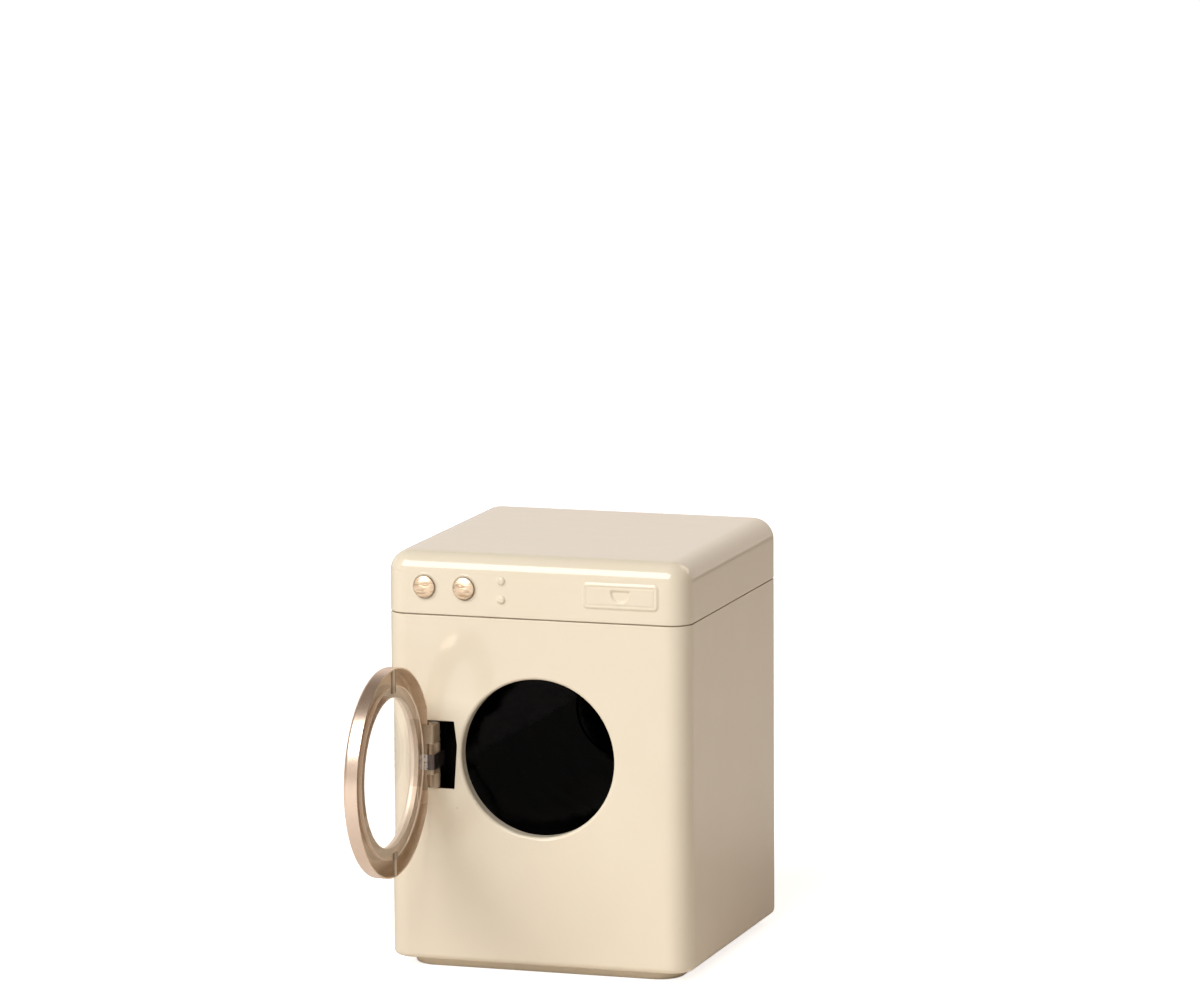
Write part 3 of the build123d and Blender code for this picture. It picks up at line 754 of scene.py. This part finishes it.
def build_lid(lid):
    """Points and faces of the pressed lid: two skins, a rounded bottom edge and two shank holes."""
    columns = lid_columns(lid)
    skins = lid_levels(lid)
    count = len(columns)
    points = []
    faces = []
    rows = {}
    for skin, levels in enumerate(skins):
        for level, (inset, z, share_of) in enumerate(levels):
            rows[skin, level] = len(points)
            for anchor, normal in columns:
                place = anchor * share_of + normal * (CORNER_R - inset) * share_of
                place.z = z
                if skin == 0 and normal.y == -1 and share_of == 1:
                    place.y -= fascia_relief(lid, LID_HIGH.z, place.x, z)
                points.append(place)
        middle = len(points)
        points.append(Vector((0, 0, levels[-1][1])))
        top = rows[skin, len(levels) - 1]
        for column in range(count):
            ends = (top + column, top + (column + 1) % count, middle)
            faces.append(ends if skin == 0 else ends[::-1])
    low_outer, low_inner = rows[0, 0], rows[1, 0]
    for column in range(count):
        after = (column + 1) % count
        faces.append((low_outer + column, low_inner + column, low_inner + after, low_outer + after))

    # Cells of both skins, left out inside the shank holes
    cut = ([], [])
    for skin, levels in enumerate(skins):
        for level in range(len(levels) - 1):
            lower, upper = rows[skin, level], rows[skin, level + 1]
            for column in range(count):
                after = (column + 1) % count
                quad = (lower + column, lower + after, upper + after, upper + column)
                middle = (points[quad[0]] + points[quad[2]]) / 2
                if middle.y < 0 and columns[column][1].y == -1 and near_shank(middle.x, middle.z):
                    cut[skin].append(quad)
                else:
                    faces.append(quad if skin == 0 else quad[::-1])
    return points, faces + shank_walls(points, cut)


def shank_walls(points, cut):
    """Walls that join both skins round the shank holes, whose rims are drawn onto circles."""
    rims = []
    for quads in cut:
        edges = dict.fromkeys(ends for quad in quads for ends in zip(quad, quad[1:] + quad[:1]))
        rims.append([ends for ends in edges if ends[::-1] not in edges])
    outside = {place_key(points[index]): index for ends in rims[0] for index in ends}
    walls = []
    for first, second in rims[1]:
        outer_first, outer_second = outside[place_key(points[first])], outside[place_key(points[second])]
        walls.append((second, first, outer_first, outer_second))
    for index in {index for rim in rims for ends in rim for index in ends}:
        place = points[index]
        knob = min((LEFT_KNOB, RIGHT_KNOB), key=lambda knob: abs(place.x - knob.x))
        away = Vector((place.x - knob.x, 0, place.z - knob.z))
        away *= SHANK_HOLE_R / away.length
        place.x, place.z = knob.x + away.x, knob.z + away.z
    return walls


def place_key(place):
    """Place of a point on the fascia, rounded so that both skins agree."""
    return round(place.x / MM, 3), round(place.z / MM, 3)


def revolved(centre, profile, count, shift):
    """Points and faces of a closed profile of (y, radius) pairs, turned about Y and then shifted."""
    points = [shift(Vector((centre.x, profile[0][0], centre.z)))]
    for y, radius in profile[1:-1]:
        for step in range(count):
            turn = 2 * pi * step / count
            place = Vector((centre.x + radius * cos(turn), y, centre.z + radius * sin(turn)))
            points.append(shift(place))
    points.append(shift(Vector((centre.x, profile[-1][0], centre.z))))
    last = len(points) - 1
    faces = []
    for step in range(count):
        after = (step + 1) % count
        faces += [(0, 1 + step, 1 + after), (last, last - count + after, last - count + step)]
    for ring in range(len(profile) - 3):
        start = 1 + ring * count
        for step in range(count):
            after = (step + 1) % count
            faces.append((start + after, start + step, start + count + step, start + count + after))
    return points, faces


def hammered(knob, tilt, seed, depth, back):
    """Shift that gives a knob its shallow hammer marks in front of the level called back."""

    def shift(place):
        if place.y >= back:
            return place
        x = (place.x - knob.x) / MM
        z = (place.z - knob.z) / MM
        with_ridge = x * cos(tilt) + z * sin(tilt)
        over_ridge = z * cos(tilt) - x * sin(tilt)
        dent = noise.noise(Vector((with_ridge * 0.45, seed, over_ridge * 1.5)))
        place.y += depth * (1 - 0.9 * soft_step((hypot(x, z) - 2.2) / 0.8)) * dent
        return place

    return shift


def knob_profile(node):
    """Profile of a knob from the middle of its dome to the end of its tail, at the CAD node's levels."""
    low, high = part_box(node)
    front, back = low.y, high.y
    crown, rim, soft = 1.1 * MM, 0.6 * MM, 0.2 * MM
    face_r = KNOB_R - soft
    bowl = 0.9
    rings = 40
    profile = [(front + 0.02 * MM, 0)]
    for step in range(1, rings + 1):
        gone = step / rings
        fall = bowl * gone**2 + (1 - bowl) * gone**5
        profile.append((front + 0.06 * MM + (crown - soft) * fall, face_r * gone))
    start = profile[-1][0]
    lean = atan2((crown - soft) * (2 * bowl + 5 * (1 - bowl)), face_r)
    for step in range(1, 8):
        turn = lean + (pi / 2 - lean) * step / 7
        profile.append((start + soft * (cos(lean) - cos(turn)), face_r + soft * (sin(turn) - sin(lean))))
    edge_r = profile[-1][1]
    profile = [(y, radius * KNOB_R / edge_r) for y, radius in profile]
    base = front + crown + rim
    tail, tail_r = back - 0.4 * MM, 1.6 * MM
    return profile + [
        (base - 0.12 * MM, KNOB_R),
        (base - 0.03 * MM, KNOB_R - 0.04 * MM),
        (base, KNOB_R - 0.14 * MM),
        (base, SHANK_R + 0.1 * MM),
        (base + 0.05 * MM, SHANK_R),
        (tail, SHANK_R),
        (tail, tail_r - 0.1 * MM),
        (tail + 0.1 * MM, tail_r),
        (back - 0.12 * MM, tail_r),
        (back, tail_r - 0.15 * MM),
        (back, 0),
    ]


def from_hinge(out, inward, z):
    """Place in the frame of a place in the open door's axes."""
    return HINGE + DOOR_OUT * out + DOOR_IN * inward + Vector((0, 0, z))


def build_pane():
    """Points and faces of the window's pane, laid in the open door's axes."""
    low, high = hinge_box("door_window")
    bevel = 0.15 * MM
    half = [(0, 0), (0, PANE_R / 2), (0, PANE_R - bevel), (bevel, PANE_R)]
    profile = [(low[1] + into, radius) for into, radius in half]
    profile += [(high[1] - into, radius) for into, radius in reversed(half)]
    middle, level = (low[0] + high[0]) / 2, (low[2] + high[2]) / 2
    return revolved(
        Vector(), profile, 128, lambda place: from_hinge(place.x + middle, place.y, place.z + level)
    )


def build_strap():
    """Points and faces of the strap: a thin strip bent once, a little wrinkled, with ragged top and bottom
    edges.
    """
    low, high = hinge_box("hinge_strap")
    thick, bend, wrinkle, ragged = 0.3 * MM, 0.75 * MM, 0.045 * MM, 0.05 * MM
    up = high[1] - bend - low[1]
    curve = bend * pi / 2
    length = up + curve + high[0] - bend - low[0]
    steps, lines = 110, 34
    points = []
    for depth in (0, thick):
        for step in range(steps + 1):
            gone = length * step / steps
            turn = min(max((gone - up) / bend, 0), pi / 2)
            x = high[0] - bend + bend * cos(turn) - max(gone - up - curve, 0)
            y = high[1] - bend + bend * sin(turn) - max(up - gone, 0)
            for line in range(lines + 1):
                level = line / lines
                z = low[2] + (high[2] - low[2]) * level
                if level in (0, 1):
                    z += ragged * noise.noise(Vector((gone * 900, 5.5, level)))
                    z = min(max(z, low[2]), high[2])
                lift = -depth
                if gone > up:
                    wave = noise.noise(Vector((gone * 420, 3.1, level * 2.4)))
                    crease = noise.noise(Vector((gone * 1500, 8.7, level * 5)))
                    lift -= wrinkle * (0.5 + 0.5 * wave + 0.35 * crease)
                points.append(from_hinge(x + cos(turn) * lift, y + sin(turn) * lift, z))
    width = lines + 1
    shift = len(points) // 2
    faces = []
    for step in range(steps):
        for line in range(lines):
            start = step * width + line
            quad = (start, start + width, start + width + 1, start + 1)
            faces += [quad, tuple(index + shift for index in quad[::-1])]
        for line in (0, lines):
            start = step * width + line
            side = (start, start + shift, start + width + shift, start + width)
            faces.append(side if line == 0 else side[::-1])
    for step in (0, steps):
        for line in range(lines):
            start = step * width + line
            end = (start, start + 1, start + 1 + shift, start + shift)
            faces.append(end if step == 0 else end[::-1])
    return points, faces


# Each knob's side, middle, the tilt of its ridges and the seed of its hammer marks
KNOBS = (("left", LEFT_KNOB, radians(-22), 2.3), ("right", RIGHT_KNOB, radians(4), 7.9))


class WASHER_OT_cabinet(bpy.types.Operator):
    """Enamels the cabinet's body and the plinth"""

    bl_idname = "washer.cabinet"
    bl_label = "Cabinet"

    def execute(self, context):
        paint(cream_enamel("cream_enamel_body"), "body_shell")
        paint(cream_enamel("cream_enamel_plinth", drift=0.15), "base_pan")
        return {"FINISHED"}


class WASHER_OT_lid(bpy.types.Operator):
    """Presses the lid with its drawer, lights and knob seats"""

    bl_idname = "washer.lid"
    bl_label = "Lid"

    def execute(self, context):
        points, faces = build_lid(context.scene.washer.lid)
        finish = cream_enamel("cream_enamel_lid_sheet")
        add_piece("pressed_lid", points, faces, finish, "cabinet", "cream_enamel_lid", "top_lid")
        return {"FINISHED"}


class WASHER_OT_knobs(bpy.types.Operator):
    """Makes the two hammered knobs and finishes their retainers"""

    bl_idname = "washer.knobs"
    bl_label = "Knobs"

    def execute(self, context):
        plating = context.scene.washer.plating
        steel = plated("steel_retainer", plating.steel, 0.25, 0.4)
        for side, knob, tilt, seed in KNOBS:
            profile = knob_profile(f"knob_{side}")
            shift = hammered(knob, tilt, seed, plating.hammer_depth, profile[0][0] + 1.2 * MM)
            points, faces = revolved(knob, profile, 120, shift)
            finish = hammered_plating(f"plated_knob_{side}", knob, tilt)
            stands_for = f"{side}_knob", "plated_knob", f"knob_{side}"
            add_piece(f"{side}_knob_stud", points, faces, finish, *stands_for)
            paint(steel, f"knob_{side}_retainer")
        return {"FINISHED"}


class WASHER_OT_hinge(bpy.types.Operator):
    """Finishes the rolled hinge and makes its strap"""

    bl_idname = "washer.hinge"
    bl_label = "Hinge"

    def execute(self, context):
        plating = context.scene.washer.plating
        satin = plating.hinge_satin
        finish = plated("plated_hinge_rolled", satin, 0.42, 0.52, wave=0.3, drift=0.3, metallic=0.25)
        paint(finish, "hinge_bracket", "door_hinge_leaf")
        paint(plated("steel_hinge_pin", plating.steel, 0.25, 0.4), "hinge_pin")
        points, faces = build_strap()
        finish = dark_spring_steel()
        add_piece("rolled_strap", points, faces, finish, "door", "dark_spring_steel", "hinge_strap")
        return {"FINISHED"}


class WASHER_OT_door(bpy.types.Operator):
    """Plates the door's ring and clears its window"""

    bl_idname = "washer.door"
    bl_label = "Door"

    def execute(self, context):
        paint(door_plating(), "door_ring")
        points, faces = build_pane()
        pane = add_piece("window_pane", points, faces, clear_window(), "door", "clear_window", "door_window")
        pane.data.materials.append(rim_with_painted_glow())
        for face in pane.data.polygons:
            face.use_smooth = False
            face.material_index = 1 if abs(face.normal.dot(DOOR_IN)) < 0.9 else 0
        return {"FINISHED"}


class WASHER_OT_drum(bpy.types.Operator):
    """Enamels the drum and finishes its spindle"""

    bl_idname = "washer.drum"
    bl_label = "Drum"

    def execute(self, context):
        plating = context.scene.washer.plating
        paint(black_enamel(), "drum_barrel", "drum_end")
        paint(plated("brass_bush_turned", plating.brass, 0.2, 0.35), "drum_bush")
        steel = plated("steel_spindle", plating.steel, 0.22, 0.4)
        paint(steel, "drum_spindle", "spindle_washers", "spindle_spacer", "spindle_backing")
        return {"FINISHED"}


# Camera of the photograph, fitted to the cabinet's edges: angles in degrees, lengths in metres
CAMERA_AZIMUTH = 17.95
CAMERA_ELEVATION = 9.03
CAMERA_ROLL = -0.33
CAMERA_PLACE = (4.03 * MM, 135.8 * MM, 2183.4 * MM)
CAMERA_LENS = 213.378


def look_axes(azimuth, elevation, roll=0.0):
    """Right, up and back of a camera that looks at the origin from azimuth to the right of the front."""
    back = Vector((sin(azimuth) * cos(elevation), -cos(azimuth) * cos(elevation), sin(elevation)))
    right = Vector((cos(azimuth), sin(azimuth), 0))
    up = back.cross(right)
    return right * cos(roll) + up * sin(roll), up * cos(roll) - right * sin(roll), back


def add_camera(scene):
    """Adds the photograph's camera."""
    axes = look_axes(radians(CAMERA_AZIMUTH), radians(CAMERA_ELEVATION), radians(CAMERA_ROLL))
    turn = Matrix(axes).transposed()
    data = bpy.data.cameras.new("camera")
    data.sensor_width = 36
    data.lens = CAMERA_LENS
    camera = bpy.data.objects.new("camera", data)
    camera.matrix_world = Matrix.Translation(turn @ Vector(CAMERA_PLACE)) @ turn.to_4x4()
    scene.collection.objects.link(camera)
    scene.camera = camera


def add_softbox(scene, name, azimuth, elevation, distance, width, height, watts, tint=(1, 1, 1)):
    """Adds an area light that faces the middle of the cabinet."""
    axes = look_axes(radians(azimuth), radians(elevation))
    turn = Matrix(axes).transposed().to_4x4()
    data = bpy.data.lights.new(name, "AREA")
    data.shape = "RECTANGLE"
    data.size = width
    data.size_y = height
    data.energy = watts
    data.color = tint
    light = bpy.data.objects.new(name, data)
    middle = Vector((0, 0, 65 * MM))
    light.matrix_world = Matrix.Translation(middle + axes[2] * distance) @ turn
    scene.collection.objects.link(light)


def seen_rays(tree):
    """Whether a ray comes from a mirror, and whether it comes from the camera, also through glass."""
    rays = make_node(tree, "LightPath").outputs
    return rays["Is Glossy Ray"], calc(tree, "MAXIMUM", rays["Is Camera Ray"], rays["Is Transmission Ray"])


def build_world(scene, ambient):
    """Even light all round; a mirror shows the white background behind, and a dimmer room elsewhere."""
    world = bpy.data.worlds.new("studio")
    world.use_nodes = True
    tree = world.node_tree
    tree.nodes.clear()
    mirrored, straight = seen_rays(tree)
    toward = make_node(tree, "TexCoord").outputs["Generated"]
    facing = measure(tree, toward, look_axes(radians(CAMERA_AZIMUTH), 0)[2] * -1)
    height = split(tree, toward)["Z"]
    room = mix_colour(tree, spread(tree, facing, 0.25, 0.8), (0.42, 0.36, 0.31, 1), (0.92, 0.83, 0.78, 1))
    card = product(tree, spread(tree, facing, -0.6, -0.85), spread(tree, height, 0.45, 0.3))
    room = mix_colour(tree, card, room, (0.85, 0.80, 0.75, 1))
    room = mix_colour(tree, spread(tree, height, 0.35, 0.8), room, (0.28, 0.24, 0.21, 1))
    room = mix_colour(tree, straight, room, (1, 1, 1, 1))
    seen = calc(tree, "MAXIMUM", mirrored, straight)
    above = mix_colour(tree, spread(tree, height, 0.0, 0.7), (1.0, 0.83, 0.68, 1), (1.0, 0.90, 0.80, 1))
    even = make_node(tree, "Background", {"Color": above, "Strength": ambient})
    shown = make_node(tree, "Background", {"Color": room, "Strength": 1.0})
    both = make_node(tree, "MixShader", {0: seen, 1: even.outputs[0], 2: shown.outputs[0]})
    make_node(tree, "OutputWorld", {"Surface": both.outputs[0]})
    scene.world = world


def floor_material(tone):
    """Pale plain floor that shows white where nothing shades it. Mirrors see a painted glow on it, brighter
    in front of the machine and farther off, dimmer beside and behind it.
    """
    fixed = {"Roughness": 0.9, "Specular_IOR_Level": 0.1, "Emission_Strength": 1.0}
    material, tree, sockets = new_material("studio_floor", **fixed)
    mirrored, straight = seen_rays(tree)
    place = own_place(tree)
    near = make_node(tree, "VectorMath", {0: place}, operation="LENGTH").outputs["Value"]
    # Painted light: the glow that mirrors see is brighter in front and farther off, dimmer close by and
    # behind, where shade falls.
    in_front = spread(tree, split(tree, place)["Y"], 0.0, -0.1, 0.05, 0.4)
    mirrored_painted_light = product(tree, spread(tree, near, 0.06, 0.3, 0.4, 1.0), in_front)
    level = spread(tree, near, 0.2, 1.2, 0.78, 1.0)
    shown = calc(tree, "MAXIMUM", product(tree, mirrored, mirrored_painted_light), product(tree, straight, level))
    lit = mix_colour(tree, shown, (0, 0, 0, 1), (1, 1, 1, 1))
    mottle = use(tree, "tone_drift", color=rgba(tone), aged=(0.91, 0.85, 0.80, 1), scale=3, amount=0.3)
    feed(tree, sockets, Base_Color=mottle, Emission_Color=lit)
    return material


class WASHER_OT_stage(bpy.types.Operator):
    """Lays the floor and sets the lights, the world and the camera"""

    bl_idname = "washer.stage"
    bl_label = "Stage"

    def execute(self, context):
        scene = context.scene
        studio = scene.washer.studio
        scene.view_settings.view_transform = "Standard"
        reach = 4.0
        corners = [(-reach, -reach, 0), (reach, -reach, 0), (reach, reach, 0), (-reach, reach, 0)]
        mesh = bpy.data.meshes.new("floor")
        mesh.from_pydata(corners, [], [(0, 1, 2, 3)])
        mesh.materials.append(floor_material(studio.floor))
        floor = bpy.data.objects.new("floor", mesh)
        scene.collection.objects.link(floor)
        floor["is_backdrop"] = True
        add_softbox(scene, "key", -20.6, 42, 2.4, 2.25, 1.2, studio.key)
        add_softbox(scene, "fill", 142, 40, 0.8, 0.45, 0.45, studio.fill, (1.0, 0.84, 0.72))
        build_world(scene, studio.ambient)
        add_camera(scene)
        return {"FINISHED"}


class WASHER_PT_panel(bpy.types.Panel):
    """Lists the pieces of the toy washing machine and their settings"""

    bl_idname = "WASHER_PT_panel"
    bl_label = "Washing machine"
    bl_space_type = "VIEW_3D"
    bl_region_type = "UI"
    bl_category = "Washing machine"

    def draw(self, context):
        settings = context.scene.washer
        for group in (settings.enamel, settings.lid, settings.plating, settings.studio):
            box = self.layout.box()
            for name in group.__annotations__:
                box.prop(group, name)
        for operator in OPERATORS:
            self.layout.operator(operator.bl_idname)


OPERATORS = (
    WASHER_OT_cabinet,
    WASHER_OT_lid,
    WASHER_OT_knobs,
    WASHER_OT_hinge,
    WASHER_OT_door,
    WASHER_OT_drum,
    WASHER_OT_stage,
)
SETTINGS = (EnamelSettings, LidSettings, PlatingSettings, StudioSettings, WasherSettings)


def register():
    for kind in (*SETTINGS, *OPERATORS, WASHER_PT_panel):
        bpy.utils.register_class(kind)
    bpy.types.Scene.washer = PointerProperty(type=WasherSettings)


def unregister():
    del bpy.types.Scene.washer
    for kind in (WASHER_PT_panel, *reversed(OPERATORS), *reversed(SETTINGS)):
        bpy.utils.unregister_class(kind)


def main():
    register()
    bpy.ops.washer.cabinet()
    bpy.ops.washer.lid()
    bpy.ops.washer.knobs()
    bpy.ops.washer.hinge()
    bpy.ops.washer.door()
    bpy.ops.washer.drum()
    bpy.ops.washer.stage()
    sizes = {"cad": cad_box, "visual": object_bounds()}
    {name: [list(corner) for corner in box] for name, box in sizes.items()}


if __name__ == "__main__":
    main()
